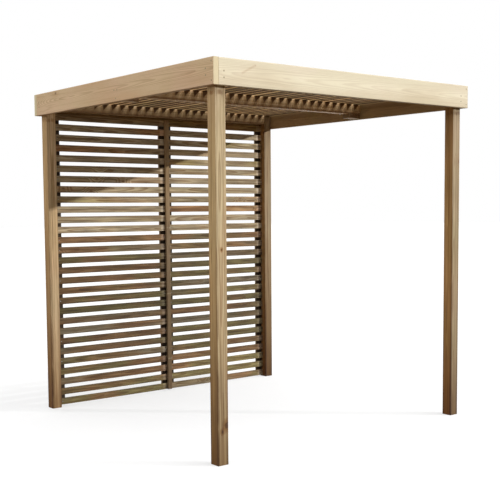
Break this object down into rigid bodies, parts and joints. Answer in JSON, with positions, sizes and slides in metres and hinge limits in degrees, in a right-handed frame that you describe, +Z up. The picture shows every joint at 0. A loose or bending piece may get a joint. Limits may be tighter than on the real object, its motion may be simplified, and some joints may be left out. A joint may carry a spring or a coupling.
{
  "type": "pergola",
  "caption": "Square free-standing timber pergola with corner posts, a deep fascia frame, a flat slatted roof on joists and one side closed by a wall of level slats.",
  "frame": {"origin": "on the ground, under the centre of the plan", "axes": "+Z up, +Y from the open front to the slatted back wall, +X to the right seen from the front"},
  "size_m": [2.091, 2.091, 2.197],
  "materials": {
    "post_timber": "planed pressure-treated softwood, warm tan with upright grain",
    "fascia_timber": "planed pressure-treated softwood, pale cream to tan with long grain",
    "joist_timber": "planed pressure-treated softwood, tan",
    "wall_slat_timber": "planed pressure-treated softwood, brown to olive, different from slat to slat",
    "wall_batten_timber": "planed pressure-treated softwood, brown, darkest behind the slats",
    "roof_slat_timber": "planed pressure-treated softwood, brown to olive, different from slat to slat",
    "coated_screw": "dull olive-brown corrosion-proof coating",
    "galvanised_nail": "galvanised, dull grey"
  },
  "bodies": {
    "root": {"post_front_left": "post_timber", "post_front_right": "post_timber", "post_back_left": "post_timber", "post_back_right": "post_timber", "fascia_front": "fascia_timber", "fascia_back": "fascia_timber", "fascia_left": "fascia_timber", "fascia_right": "fascia_timber", "joist_front": "joist_timber", "joist_middle": "joist_timber", "joist_back": "joist_timber", "joist_rest_left": "joist_timber", "joist_rest_right": "joist_timber", "wall_slats_left": "wall_slat_timber", "wall_slats_right": "wall_slat_timber", "wall_batten_left_outer": "wall_batten_timber", "wall_batten_left_inner": "wall_batten_timber", "wall_batten_right_outer": "wall_batten_timber", "wall_batten_right_inner": "wall_batten_timber", "wall_cover_strip": "wall_batten_timber", "roof_slat_01": "roof_slat_timber", "roof_slat_02": "roof_slat_timber", "roof_slat_03": "roof_slat_timber", "roof_slat_04": "roof_slat_timber", "roof_slat_05": "roof_slat_timber", "roof_slat_06": "roof_slat_timber", "roof_slat_07": "roof_slat_timber", "roof_slat_08": "roof_slat_timber", "roof_slat_09": "roof_slat_timber", "roof_slat_10": "roof_slat_timber", "roof_slat_11": "roof_slat_timber", "roof_slat_12": "roof_slat_timber", "roof_slat_13": "roof_slat_timber", "roof_slat_14": "roof_slat_timber", "roof_slat_15": "roof_slat_timber", "roof_slat_16": "roof_slat_timber", "roof_slat_17": "roof_slat_timber", "roof_slat_18": "roof_slat_timber", "roof_slat_19": "roof_slat_timber", "roof_slat_20": "roof_slat_timber", "roof_slat_21": "roof_slat_timber", "roof_slat_22": "roof_slat_timber", "roof_slat_23": "roof_slat_timber", "roof_slat_24": "roof_slat_timber", "roof_slat_25": "roof_slat_timber", "roof_slat_26": "roof_slat_timber", "roof_slat_27": "roof_slat_timber", "roof_slat_28": "roof_slat_timber", "fascia_screws": "coated_screw", "corner_screws": "coated_screw", "edge_joist_screws": "coated_screw", "middle_joist_screws": "coated_screw", "rest_screws": "coated_screw", "wall_screws": "coated_screw", "strip_screws": "coated_screw", "wall_nails_left": "galvanised_nail", "wall_nails_right": "galvanised_nail", "roof_nails": "galvanised_nail"}
  },
  "joints": []
}
